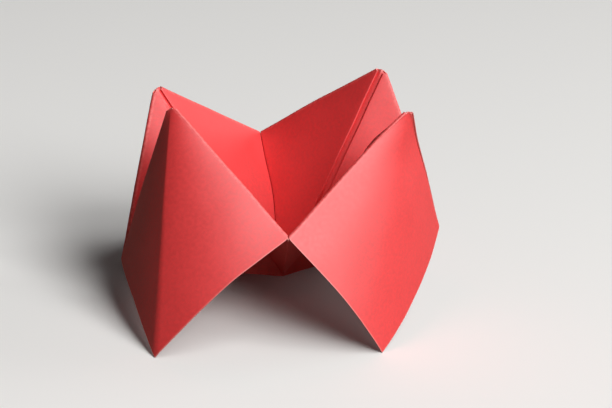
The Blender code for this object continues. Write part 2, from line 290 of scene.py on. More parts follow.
class StageSettings(bpy.types.PropertyGroup):
    """Floor, light and camera."""

    floor_colour: FloatVectorProperty(
        name="Floor", description="Colour of the floor as seen", size=3, subtype="COLOR",
        default=(0.86, 0.85, 0.83), min=0.0, max=1.0)
    bounce_colour: FloatVectorProperty(
        name="Floor bounce", description="Colour of the light that the floor gives back", size=3,
        subtype="COLOR", default=(0.20, 0.14, 0.11), min=0.0, max=1.0)
    mirrored_share: FloatProperty(
        name="Mirrored", description="How far the floor is pale in the paper's sheen too",
        default=0.08, min=0.0, max=1.0)
    key_strength: FloatProperty(
        name="Key", description="Light that the key lamp gives", default=2.8, min=0.0)
    high_strength: FloatProperty(
        name="High", description="Light that the high lamp gives", default=1.5, min=0.0)
    side_strength: FloatProperty(
        name="Side", description="Light that the low lamp on the right gives", default=0.65, min=0.0)
    key_way: FloatVectorProperty(
        name="Key way", description="Heading and rise of the key lamp", size=2,
        default=degrees(-51.0, 34.0), unit="ROTATION")
    high_way: FloatVectorProperty(
        name="High way", description="Heading and rise of the high lamp", size=2,
        default=degrees(-30.0, 61.0), unit="ROTATION")
    side_way: FloatVectorProperty(
        name="Side way", description="Heading and rise of the side lamp", size=2,
        default=degrees(25.0, 20.0), unit="ROTATION")
    lamp_distance: FloatProperty(
        name="Lamp distance", description="From the object to each lamp", default=1.8, unit="LENGTH")
    lamp_size: FloatProperty(
        name="Lamp size", description="Side of each square lamp", default=0.9, unit="LENGTH")
    ambient: FloatProperty(
        name="Ambient", description="Light from all round", default=0.012, min=0.0)
    backdrop: FloatProperty(
        name="Backdrop", description="How pale the background is to the eye", default=0.9, min=0.0)
    floor_reach: FloatProperty(
        name="Floor reach", description="From the middle of the floor to its sides", default=3.0,
        unit="LENGTH")
    camera_place: FloatVectorProperty(
        name="Camera", description="Place of the camera", size=3, subtype="TRANSLATION",
        default=(0.00478, -0.41660, 0.18617), unit="LENGTH")
    camera_pitch: FloatProperty(
        name="Pitch", description="How far the camera looks down", default=math.radians(21.193),
        unit="ROTATION")
    camera_roll: FloatProperty(
        name="Roll", description="How far the camera is turned about its line of sight",
        default=math.radians(4.981), unit="ROTATION")
    camera_lens: FloatProperty(
        name="Lens", description="Focal length in millimetres", default=117.647, min=1.0)


def heading_vector(heading, rise=0.0):
    """Unit vector with this heading and this rise above the floor."""
    flat = math.cos(rise)
    return Vector((flat * math.cos(heading), flat * math.sin(heading), math.sin(rise)))


class Sheet:
    """The sheet's own sizes and the ones that follow from them."""

    def __init__(self, settings):
        self.settings = settings
        self.pitch = settings.layer_pitch
        self.cell = settings.sheet_side / 4.0 + (settings.first_short + settings.second_short) / 2.0
        self.flap_side = self.cell - settings.first_short
        self.fold_line = self.cell - settings.second_short
        self.edge_end = self.fold_line - settings.tip_relief
        self.relief = settings.tip_relief * ROOT_HALF
        self.wrap_radius = WRAP_LAYERS * self.pitch
        self.wrap_length = math.pi * self.wrap_radius
        self.relief_turn = math.atan2(self.relief, settings.second_short - self.relief) / EIGHTH_TURN

    def tip_fold_radius(self, turn):
        """Distance from the tip to the fold across it."""
        angle = turn * EIGHTH_TURN
        return self.settings.second_short / (math.cos(angle) + math.sin(angle))

    def inner_radius(self, turn):
        """Distance from the tip to the flap's inner edge: the relief and then the tip fold."""
        if turn >= self.relief_turn:
            return self.tip_fold_radius(turn)
        end_angle = self.relief_turn * EIGHTH_TURN
        end_radius = self.tip_fold_radius(self.relief_turn)
        first = Vector((self.settings.second_short + self.settings.tip_relief, 0.0))
        last = end_radius * Vector((math.cos(end_angle), math.sin(end_angle)))
        angle = turn * EIGHTH_TURN
        across = Vector((-math.sin(angle), math.cos(angle)))
        share = -first.dot(across) / (last - first).dot(across)
        return (first + share * (last - first)).length

    def flap_turns(self):
        """Turns from the folded edge to the foot, closer together by the middle crease."""
        steps = self.settings.flap_steps
        turns = [step / steps for step in range(steps + 1)]
        nearest = min(range(2, steps), key=lambda index: abs(turns[index] - self.relief_turn))
        turns[nearest] = self.relief_turn
        turns.insert(1, self.settings.notch_relief / self.cell / EIGHTH_TURN)
        crease_turn = min(self.settings.crease_widths) / self.cell / EIGHTH_TURN
        close = [1.0 - crease_turn * share for share in CREASE_STEP_SHARES]
        return turns[:-1] + [turn for turn in close if turn > turns[-2]] + [1.0]

    def tip_turns(self):
        """Turns along the tip fold, from its start to the foot's line."""
        return [turn for turn in self.flap_turns() if turn >= self.relief_turn]


class Sector:
    """Half of a cell, the flat triangle from the keel to a notch and a tip.

    A place in it is given by s, from the notch towards the keel, w, from the notch towards
    the tip, and h, the height above the sheet's lowest layer on the side of the mouth.
    """

    def __init__(self, sheet, keel, notch, tip, across, side, quarter):
        self.sheet = sheet
        self.notch = notch
        self.side = side
        self.quarter = quarter
        self.to_keel = (keel - notch).normalized()
        self.to_tip = (tip - notch).normalized()
        self.to_mouth = self.to_keel.cross(self.to_tip).normalized()
        if (across - notch).dot(self.to_mouth) > 0.0:
            self.to_mouth = -self.to_mouth
        self.mitre = 0.0

    def face_valley(self, neighbour):
        """Set how much a layer stands off the valley for each height above the lowest."""
        opening = self.to_tip.angle(neighbour.to_tip)
        self.mitre = 1.0 / math.tan(opening / 2.0)

    def raw_stand_off(self, height):
        """How far a raw edge at this height above the lowest layer stays off the valley."""
        settings = self.sheet.settings
        valley_side = (height + settings.thickness / 2.0) * self.mitre + settings.raw_edge_gap
        return max(settings.first_short, valley_side)

    def place(self, s, w, h):
        """Place in the model of a place in the sector."""
        return self.notch + s * self.to_keel + w * self.to_tip + h * self.to_mouth

    def flat(self, u, v):
        """Place on the flat sheet, turned to this sector's side and quarter."""
        if self.side:
            u, v = v, u
        for _ in range(self.quarter):
            u, v = -v, u
        return (u, v)

    def low(self, s, w):
        """A point of the lowest layer."""
        return self.place(s, w, 0.0), self.flat(self.sheet.cell - s, w)

    def inner_fold(self, s, w, h):
        """A point of the fold between the lowest and the middle layer."""
        return self.place(s, w, h), self.flat(self.sheet.cell, w)

    def middle(self, s, w):
        """A point of the middle layer."""
        return self.place(s, w, self.sheet.pitch), self.flat(self.sheet.cell + s, w)

    def upper(self, s, w, h):
        """A point of the upper layer or of the fold that leads to it."""
        return self.place(s, w, h), self.flat(2.0 * self.sheet.cell - w, self.sheet.cell - s)

    def wrap(self, s, w, h, share):
        """A point of the fold between the upper layer and the flap, a share of the way round."""
        across = self.sheet.cell + share * self.sheet.wrap_length
        return self.place(s, w, h), self.flat(2.0 * self.sheet.cell - w, across)


class Pocket:
    """One tip with the two sectors on its mouth side and the curved flap on its outer side."""

    def __init__(self, sheet, index, keel, notches, tip):
        settings = sheet.settings
        self.sheet = sheet
        self.keel = keel
        self.tip = tip
        self.sectors = (
            Sector(sheet, keel, notches[0], tip, notches[1], 0, index),
            Sector(sheet, keel, notches[1], tip, notches[0], 1, index),
        )
        self.bows = (math.tan(settings.first_bows[index]), math.tan(settings.second_bows[index]))
        self.edge_bows = (settings.first_edge_bows[index], settings.second_edge_bows[index])
        self.crease_width = settings.crease_widths[index]
        self.reach = settings.foot_reaches[index]
        foot_reach = math.sqrt(2.0) * sheet.flap_side * self.reach
        level = math.sqrt(foot_reach ** 2 - tip.z ** 2)
        foot = tip + level * heading_vector(settings.foot_headings[index])
        foot.z = 0.0
        self.to_foot = (foot - tip).normalized()
        self.wrap_offsets = [self.wrap_offset(side) for side in (0, 1)]
        self.set_crease()

    def flap_direction(self, side, turn):
        """Direction from the tip to the flap at a turn from 0, at the notch, to 1, at the foot."""
        start = -self.sectors[side].to_tip
        end = self.to_foot
        outward = start.cross(end).normalized()
        if outward.dot(self.keel - self.tip) > 0.0:
            outward = -outward
        angle = start.angle(end)
        level = (math.sin((1.0 - turn) * angle) * start + math.sin(turn * angle) * end) / math.sin(angle)
        bow = 4.0 * turn * (1.0 - turn) * self.bows[side]
        return (level + bow * outward).normalized()

    def flap_lead(self, side):
        """Direction in which the flap leaves the folded edge, square to that edge."""
        small_turn = 1e-4
        change = self.flap_direction(side, small_turn) - self.flap_direction(side, 0.0)
        return change.normalized()

    def set_crease(self):
        """Find the slope and the outward direction at the flap's middle crease."""
        small_turn = 1e-3
        leads = [
            (self.flap_direction(side, 1.0 - small_turn) - self.to_foot).normalized()
            for side in (0, 1)
        ]
        self.crease_slope = 1.0 / math.tan(leads[0].angle(leads[1]) / 2.0)
        self.crease_inward = (leads[0] + leads[1]).normalized()

    def wrap_offset(self, side):
        """From the edge of the lowest layer to where the flap leaves the fold that wraps it."""
        sector = self.sectors[side]
        lead = self.flap_lead(side)
        angle = math.atan2(-lead.dot(sector.to_mouth), lead.dot(sector.to_keel))
        s = -self.sheet.wrap_radius * math.sin(angle)
        h = self.sheet.pitch / 2.0 - self.sheet.wrap_radius * math.cos(angle)
        return s * sector.to_keel + h * sector.to_mouth

    def flap_place(self, side, turn, radius):
        """Place on the flap at this turn and this distance from the tip."""
        place = self.tip + radius * self.flap_direction(side, turn)
        place += (1.0 - turn) ** 2 * self.wrap_offsets[side]
        # Close to the middle crease the fold is round
        away = radius * math.sin((1.0 - turn) * EIGHTH_TURN)
        if away < self.crease_width:
            depth = self.crease_slope * (self.crease_width - away) ** 2 / (2.0 * self.crease_width)
            place += depth * self.crease_inward
        return place

    def flap_point(self, side, turn, radius):
        """A point of the flap with its place on the flat sheet."""
        angle = turn * EIGHTH_TURN
        on_sheet = radius / self.edge_share(side, turn)
        along = on_sheet * math.cos(angle)
        across = on_sheet * math.sin(angle)
        length = self.sheet.wrap_length
        cell = self.sheet.cell
        u = cell + along + length * math.tan(angle) * (1.0 - along / cell)
        v = cell + across + length * (1.0 - across / cell)
        return self.flap_place(side, turn, radius), self.sectors[side].flat(u, v)

    def edge_share(self, side, turn):
        """How far out the flap's raw edge is, as a share of its place on a plain square flap."""
        reach = 1.0 + (self.reach - 1.0) * turn
        return reach * (1.0 - 4.0 * turn * (1.0 - turn) * self.edge_bows[side])

    def outer_radius(self, side, turn):
        """Distance from the tip to the flap's raw edge."""
        if turn == 0.0:
            sector = self.sectors[side]
            return self.sheet.cell - sector.raw_stand_off(self.wrap_offsets[side].dot(sector.to_mouth))
        return self.sheet.flap_side / math.cos(turn * EIGHTH_TURN) * self.edge_share(side, turn)


class SheetMesh:
    """Middle surface of the folded sheet with the flat sheet as its UV map."""

    def __init__(self):
        self.mesh = bmesh.new()
        self.flat = self.mesh.loops.layers.uv.new(FLAT_MAP)

    def face(self, points):
        """One flat patch."""
        face = self.mesh.faces.new([self.mesh.verts.new(place) for place, _ in points])
        for loop, (_, flat) in zip(face.loops, points):
            loop[self.flat].uv = flat

    def strip(self, first_row, second_row):
        """Quads between two rows with as many points."""
        for index in range(len(first_row) - 1):
            self.face((first_row[index], first_row[index + 1], second_row[index + 1], second_row[index]))

    def strips(self, rows):
        """Quads between each row and the next."""
        for first, second in zip(rows, rows[1:]):
            self.strip(first, second)

    def halve_patches(self):
        """Cut every patch with more than four corners into triangles."""
        many = [face for face in self.mesh.faces if len(face.verts) > 4]
        bmesh.ops.triangulate(self.mesh, faces=many)

    def finish(self, settings):
        """Weld the patches, turn their faces the same way and divide them finely."""
        weld_distance = settings.raw_edge_gap * WELD_SHARE
        bmesh.ops.remove_doubles(self.mesh, verts=self.mesh.verts, dist=weld_distance)
        bmesh.ops.recalc_face_normals(self.mesh, faces=self.mesh.faces)
        # Long folds are all cut into as many parts, so the strips between them stay rows of quads
        long_fold = settings.sheet_side * LONG_FOLD_SHARE
        folds = [edge for edge in self.mesh.edges if edge.calc_length() > long_fold]
        bmesh.ops.subdivide_edges(self.mesh, edges=folds, cuts=settings.fold_parts - 1)
        for _ in range(settings.dividing_passes):
            self.halve_patches()
            long_edges = [edge for edge in self.mesh.edges if edge.calc_length() > settings.longest_edge]
            bmesh.ops.subdivide_edges(self.mesh, edges=long_edges, cuts=1)
        self.halve_patches()


def fold_curve(start, start_lead, end, end_lead, steps):
    """Points of a round bend that leaves both ends in the given directions."""
    chord = (end - start).length
    turn = start_lead.angle(-end_lead)
    radius = chord / (2.0 * math.sin(turn / 2.0))
    handle = 4.0 / 3.0 * math.tan(turn / 4.0) * radius
    first = start + handle * start_lead
    second = end + handle * end_lead
    points = []
    for step in range(steps + 1):
        t = step / steps
        u = 1.0 - t
        points.append(u ** 3 * start + 3.0 * u * u * t * first + 3.0 * u * t * t * second + t ** 3 * end)
    return points


def bend_section(width, height, start_lead, end_lead, steps):
    """Points of a round bend across a fold, from the origin to this width and height."""
    end = Vector((width, height, 0.0))
    return fold_curve(Vector(), Vector((*start_lead, 0.0)), end, Vector((*end_lead, 0.0)), steps)


def tip_point(sheet, sector, turn):
    """A point of the lowest layer on the fold across the tip."""
    angle = turn * EIGHTH_TURN
    radius = sheet.tip_fold_radius(turn)
    return sector.low(radius * math.sin(angle), sheet.cell - radius * math.cos(angle))


def lay_low_layer(mesh, sheet, sector):
    """Lowest layer, from the keel out to the folded edge, the tip fold and the ridge."""
    points = [sector.low(0.0, 0.0), sector.low(sheet.cell, 0.0)]
    points += [tip_point(sheet, sector, turn) for turn in reversed(sheet.tip_turns())]
    points.append(sector.low(0.0, sheet.edge_end))
    mesh.face(points)


def lay_inner_edge(mesh, sheet, sector):
    """Hairpin from the lowest layer to the middle one, mitred where it crosses the valley."""
    rows = []
    for point in bend_section(0.0, sheet.pitch, (-1.0, 0.0), (-1.0, 0.0), sheet.settings.fold_steps):
        ends = (point.y * sector.mitre, sheet.edge_end)
        rows.append([sector.inner_fold(point.x, w, point.y) for w in ends])
    mesh.strips(rows)


def lay_upper_layers(mesh, sheet, sector):
    """Middle layer, which goes on across the valley, and upper layer with the hairpin between."""
    stand_off = sheet.pitch * sector.mitre
    fold_start = stand_off + sheet.settings.keel_relief
    middle_start = max(fold_start, sector.raw_stand_off(sheet.pitch))

    # Each row of the hairpin runs beside the ridge from its raw end to the tip relief
    rows = []
    for point in bend_section(0.0, sheet.pitch, (1.0, 0.0), (1.0, 0.0), sheet.settings.fold_steps):
        side_step = point.x * ROOT_HALF
        height = sheet.pitch + point.y
        start = max(fold_start, sector.raw_stand_off(height))
        rows.append([
            sector.upper(sheet.fold_line - w + side_step, w + side_step, height)
            for w in (start, sheet.fold_line - sheet.relief)
        ])
    mesh.strips(rows)
    mesh.face((
        sector.middle(0.0, stand_off),
        sector.middle(sheet.fold_line - middle_start, stand_off),
        sector.middle(sheet.fold_line - middle_start, middle_start),
        sector.middle(sheet.relief, sheet.fold_line - sheet.relief),
        sector.middle(0.0, sheet.edge_end),
    ))
    height = 2.0 * sheet.pitch
    raw_edge = sector.raw_stand_off(height)
    upper = [
        sector.upper(0.0, raw_edge, height),
        rows[-1][0],
        rows[-1][1],
        sector.upper(0.0, sheet.edge_end, height),
    ]
    if fold_start > raw_edge:
        upper.insert(1, sector.upper(sheet.fold_line - fold_start, raw_edge, height))
    mesh.face(upper)


def lay_outer_edge(mesh, sheet, pocket, side):
    """Fold that wraps the inner hairpin and leads from the upper layer into the outer flap."""
    sector = pocket.sectors[side]
    offset = pocket.wrap_offsets[side]
    lead = pocket.flap_lead(side)
    top = 2.0 * sheet.pitch
    width = offset.dot(sector.to_keel)
    height = offset.dot(sector.to_mouth) - top
    leave = (-lead.dot(sector.to_keel), -lead.dot(sector.to_mouth))
    points = bend_section(width, height, (-1.0, 0.0), leave, sheet.settings.fold_steps)
    rows = []
    for step, point in enumerate(points):
        level = top + point.y
        share = step / sheet.settings.fold_steps
        ends = (sector.raw_stand_off(level), sheet.edge_end)
        rows.append([sector.wrap(point.x, w, level, share) for w in ends])
    mesh.strips(rows)


def lay_flap(mesh, sheet, pocket, side):
    """Half of the outer flap, from its folded edge to the line of its foot."""
    turns = sheet.flap_turns()
    inner = [pocket.flap_point(side, turn, sheet.inner_radius(turn)) for turn in turns]
    outer = [pocket.flap_point(side, turn, pocket.outer_radius(side, turn)) for turn in turns]
    mesh.strip(inner, outer)


def lay_tip(mesh, sheet, pocket, side):
    """Half of the short fold across the tip, from the lowest layer to the flap."""
    low_lead = (pocket.tip - pocket.keel).normalized()
    columns = []
    for turn in sheet.tip_turns():
        low, flat = tip_point(sheet, pocket.sectors[side], turn)
        flap = pocket.flap_place(side, turn, sheet.tip_fold_radius(turn))
        bend = fold_curve(low, low_lead, flap, -pocket.to_foot, sheet.settings.fold_steps)
        columns.append([(place, flat) for place in bend])
    mesh.strips(columns)


def tip_between(sheet, keel, first_notch, second_notch):
    """Far corner of the square cell that has these corners and is creased along its diagonal."""
    first = first_notch - keel
    second = second_notch - keel
    spread = math.cos(first.angle(second))
    normal = first.cross(second).normalized()
    if normal.z < 0.0:
        normal = -normal
    height = sheet.cell * math.sqrt(2.0 * spread / (1.0 + spread))
    return keel + (first + second) / (1.0 + spread) + normal * height


def open_model(sheet):
    """The four pockets, in the places that the notch angles give them."""
    settings = sheet.settings
    keel = Vector((0.0, 0.0, settings.keel_height))
    notches = [
        keel + sheet.cell * heading_vector(heading, rise)
        for heading, rise in zip(settings.notch_headings, settings.notch_rises)
    ]
    pockets = []
    for index in range(len(notches)):
        first, second = notches[index - 1], notches[index]
        tip = tip_between(sheet, keel, first, second)
        pockets.append(Pocket(sheet, index, keel, (first, second), tip))
    for index, pocket in enumerate(pockets):
        following = pockets[(index + 1) % len(pockets)].sectors[0]
        pocket.sectors[1].face_valley(following)
        following.face_valley(pocket.sectors[1])
    return pockets


def fold_sheet(settings):
    """Middle surface of the whole sheet as a mesh object."""
    sheet = Sheet(settings)
    laid = SheetMesh()
    for pocket in open_model(sheet):
        for side in (0, 1):
            lay_low_layer(laid, sheet, pocket.sectors[side])
            lay_inner_edge(laid, sheet, pocket.sectors[side])
            lay_upper_layers(laid, sheet, pocket.sectors[side])
            lay_outer_edge(laid, sheet, pocket, side)
            lay_flap(laid, sheet, pocket, side)
            lay_tip(laid, sheet, pocket, side)
    laid.finish(settings)
    mesh = bpy.data.meshes.new("folded_paper")
    laid.mesh.to_mesh(mesh)
    laid.mesh.free()
    folded = bpy.data.objects.new("folded_paper", mesh)
    bpy.context.scene.collection.objects.link(folded)
    return folded


def thicken(folded, settings):
    """One thickness of paper on the middle surface, with its rim as a second material index."""
    for _ in ("faces", "rim"):
        folded.data.materials.append(None)
    wall = folded.modifiers.new("paper_thickness", "SOLIDIFY")
    wall.solidify_mode = "NON_MANIFOLD"
    wall.nonmanifold_thickness_mode = "CONSTRAINTS"
    wall.nonmanifold_boundary_mode = "NONE"
    wall.nonmanifold_merge_threshold = settings.raw_edge_gap * WELD_SHARE
    wall.thickness = settings.thickness
    wall.offset = 0.0
    wall.use_rim = True
    wall.material_offset_rim = 1


class Tree:
    """Short ways to add and join nodes."""

    def __init__(self, tree):
        self.tree = tree

    def add(self, kind, inputs=(), **values):
        """A node with these properties, and these values or sockets on its inputs."""
        node = self.tree.nodes.new(kind)
        for name, value in values.items():
            setattr(node, name, value)
        for name, value in dict(inputs).items():
            if isinstance(value, bpy.types.NodeSocket):
                self.tree.links.new(value, node.inputs[name])
            else:
                node.inputs[name].default_value = value
        return node

    def math(self, operation, *terms):
        """Result of a math node."""
        return self.add("ShaderNodeMath", enumerate(terms), operation=operation).outputs[0]

    def vector(self, operation, inputs):
        """Result of a vector math node."""
        return self.add("ShaderNodeVectorMath", inputs, operation=operation).outputs[0]

    def colour_mix(self, share, first, second):
        """Colour between two colours."""
        node = self.add("ShaderNodeMix", data_type="RGBA")
        for index, value in ((0, share), (6, first), (7, second)):
            if isinstance(value, bpy.types.NodeSocket):
                self.tree.links.new(value, node.inputs[index])
            else:
                node.inputs[index].default_value = value
        return node.outputs[2]

    def ramp(self, value, low, high):
        """Smooth rise from 0 at low to 1 at high."""
        node = self.add("ShaderNodeMapRange", {"Value": value, "From Min": low, "From Max": high},
                        interpolation_type="SMOOTHSTEP")
        return node.outputs["Result"]


def wave_tree():
    """Geometry nodes that wave and push the sheet softly, mark its cut edges and set its material."""
    group = bpy.data.node_groups.new("paper_waves", "GeometryNodeTree")
    face = group.interface
    face.new_socket("Geometry", in_out="INPUT", socket_type="NodeSocketGeometry")
    for name in ("Wave Height", "Wave Length", "Floor Fade"):
        face.new_socket(name, in_out="INPUT", socket_type="NodeSocketFloat")
    for name, *_ in SOFT_PUSHES:
        face.new_socket(name + " Place", in_out="INPUT", socket_type="NodeSocketVector")
        face.new_socket(name + " Push", in_out="INPUT", socket_type="NodeSocketVector")
        face.new_socket(name + " Reach", in_out="INPUT", socket_type="NodeSocketFloat")
    face.new_socket("Seed", in_out="INPUT", socket_type="NodeSocketInt")
    face.new_socket("Paper", in_out="INPUT", socket_type="NodeSocketMaterial")
    face.new_socket("Geometry", in_out="OUTPUT", socket_type="NodeSocketGeometry")
    tree = Tree(group)
    given = tree.add("NodeGroupInput").outputs
    place = tree.add("GeometryNodeInputPosition").outputs[0]
    noise = tree.add(
        "ShaderNodeTexNoise",
        {"Vector": place, "W": given["Seed"], "Scale": tree.math("DIVIDE", 1.0, given["Wave Length"]),
         "Detail": 1.5, "Roughness": 0.45},
        noise_dimensions="4D",
    ).outputs["Color"]
    centred = tree.vector("SUBTRACT", {0: noise, 1: (0.5, 0.5, 0.5)})
    height = tree.add("ShaderNodeSeparateXYZ", {0: place}).outputs["Z"]
    hold = tree.ramp(height, 0.0, given["Floor Fade"])
    strength = tree.math("MULTIPLY", hold, tree.math("MULTIPLY", 2.0, given["Wave Height"]))
    offset = tree.vector("SCALE", {0: centred, "Scale": strength})
    for name, *_ in SOFT_PUSHES:
        away = tree.add("ShaderNodeVectorMath", {0: place, 1: given[name + " Place"]}, operation="DISTANCE")
        share = tree.math("DIVIDE", away.outputs["Value"], given[name + " Reach"])
        fall = tree.math("EXPONENT", tree.math("MULTIPLY", -1.0, tree.math("MULTIPLY", share, share)))
        push = tree.vector("SCALE", {0: given[name + " Push"], "Scale": fall})
        offset = tree.vector("ADD", {0: offset, 1: push})
    moved = tree.add("GeometryNodeSetPosition", {"Geometry": given["Geometry"], "Offset": offset})
    marked = tree.add(
        "GeometryNodeStoreNamedAttribute",
        {"Geometry": moved.outputs[0], "Name": CUT_EDGE,
         "Value": tree.add("GeometryNodeInputMaterialIndex").outputs[0]},
        data_type="FLOAT", domain="FACE",
    )
    whole = tree.add("GeometryNodeRealizeInstances", {"Geometry": marked.outputs[0]})
    finished = tree.add(
        "GeometryNodeSetMaterial", {"Geometry": whole.outputs[0], "Material": given["Paper"]})
    tree.add("NodeGroupOutput", {"Geometry": finished.outputs[0]})
    return group


def give_waves(folded, settings, pushes, material):
    """Put the wave nodes on the sheet with their inputs set."""
    waves = folded.modifiers.new("paper_waves", "NODES")
    waves.node_group = wave_tree()
    values = {
        "Wave Height": settings.wave_height,
        "Wave Length": settings.wave_length,
        "Floor Fade": settings.floor_fade,
        "Seed": settings.seed,
        "Paper": material,
    }
    for name, *_ in SOFT_PUSHES:
        for part in ("Place", "Push", "Reach"):
            values[name + " " + part] = getattr(pushes, (name + " " + part).lower().replace(" ", "_"))
    for socket in waves.node_group.interface.items_tree:
        if socket.in_out == "INPUT" and socket.name in values:
            waves[socket.identifier] = values[socket.name]


def as_plain_mesh(folded):
    """Replace the object's mesh by what its modifiers make of it."""
    evaluated = folded.evaluated_get(bpy.context.evaluated_depsgraph_get())
    mesh = bpy.data.meshes.new_from_object(evaluated)
    folded.modifiers.clear()
    folded.data = mesh
    mesh.shade_smooth()
    mesh.set_sharp_from_angle(angle=SHARP_ANGLE)


def fit_to_node(folded):
    """Set the sheet on the floor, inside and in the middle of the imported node's box."""
    node_low, node_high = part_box(CAD_NODE)
    corners = [vertex.co for vertex in folded.data.vertices]
    low = Vector([min(corner[axis] for corner in corners) for axis in range(3)])
    high = Vector([max(corner[axis] for corner in corners) for axis in range(3)])
    share = min([1.0] + [(node_high - node_low)[axis] / (high - low)[axis] for axis in range(3)])
    middle = (low + high) / 2.0
    middle.z = low.z
    goal = (node_low + node_high) / 2.0
    goal.z = node_low.z
    folded.data.transform(
        Matrix.Translation(goal) @ Matrix.Scale(share, 4) @ Matrix.Translation(-middle))


def flat_noise(tree, flat, size, detail, stretch=(1.0, 1.0, 1.0), turn=0.0, distortion=0.0):
    """Noise on the flat sheet, with patches of this size."""
    mapping = tree.add("ShaderNodeMapping", {
        "Vector": flat, "Rotation": (0.0, 0.0, turn),
        "Scale": tuple(share / size for share in stretch)})
    node = tree.add("ShaderNodeTexNoise", {
        "Vector": mapping.outputs[0], "Scale": 1.0, "Detail": detail,
        "Roughness": 0.6, "Distortion": distortion})
    return node.outputs[0]


def fibre_pattern(tree, flat, paper):
    """Slim fibres that lie across one another on the sheet."""
    slim = paper.fibre_width / paper.fibre_length
    fibres = [
        flat_noise(tree, flat, paper.fibre_width, detail=2.0, stretch=(1.0, slim, 1.0), turn=turn,
                   distortion=0.4)
        for turn in FIBRE_TURNS
    ]
    fibre = tree.math("MAXIMUM", fibres[0], tree.math("MAXIMUM", fibres[1], fibres[2]))
    return tree.ramp(fibre, *FIBRE_LEVELS)


def rubbed_and_highlit_folds(tree, sheet, paper, across, along, grain):
    """How rubbed the paper is, together with a painted highlight along each fold, by its distance from the
    nearest fold, on the flat sheet.
    """
    half_wrap = sheet.wrap_length / 2.0
    folds_off = []
    for value in (across, along):
        off = tree.math("ABSOLUTE", tree.math("SUBTRACT", value, sheet.cell + half_wrap))
        folds_off.append(tree.math("SUBTRACT", off, half_wrap))
    diagonal = tree.math("ABSOLUTE", tree.math(
        "SUBTRACT", tree.math("ADD", across, along), sheet.cell + sheet.fold_line))
    folds_off.append(tree.math("MULTIPLY", diagonal, ROOT_HALF))
    nearest = tree.math("MINIMUM", folds_off[2], tree.math("MINIMUM", folds_off[0], folds_off[1]))
    rubbed_and_highlit = tree.math("SUBTRACT", 1.0, tree.ramp(nearest, 0.0, paper.wear_and_highlight_width))
    return tree.math("MULTIPLY", rubbed_and_highlit, tree.ramp(grain, *FOLD_WEAR_AND_HIGHLIGHT_LEVELS))


def rubbed_corners(tree, sheet, paper, across, along):
    """How rubbed the corners are where several folds meet, at the notches and the tips."""
    spots = []
    for u, v in ((sheet.cell, 0.0), (0.0, sheet.cell), (sheet.cell, sheet.cell)):
        squares = [
            tree.math("POWER", tree.math("SUBTRACT", value, middle), 2.0)
            for value, middle in ((across, u), (along, v))
        ]
        away = tree.math("POWER", tree.math("ADD", *squares), 0.5)
        spots.append(tree.math("SUBTRACT", 1.0, tree.ramp(away, paper.spot_core, paper.spot_reach)))
    notch = tree.math("MULTIPLY", tree.math("MAXIMUM", spots[0], spots[1]), NOTCH_SPOT_SHARE)
    return tree.math("MAXIMUM", notch, tree.math("MULTIPLY", spots[2], TIP_SPOT_SHARE))


def frayed_and_highlit_rim(tree, sheet, paper, across, along):
    """How frayed the paper is beside the border of the flat sheet, together with a painted highlight where
    the cut edge catches light.
    """
    border = tree.math(
        "SUBTRACT", 2.0 * sheet.cell - sheet.settings.first_short, tree.math("MAXIMUM", across, along))
    return tree.math("SUBTRACT", 1.0, tree.ramp(border, 0.0, paper.fray_and_highlight_width))


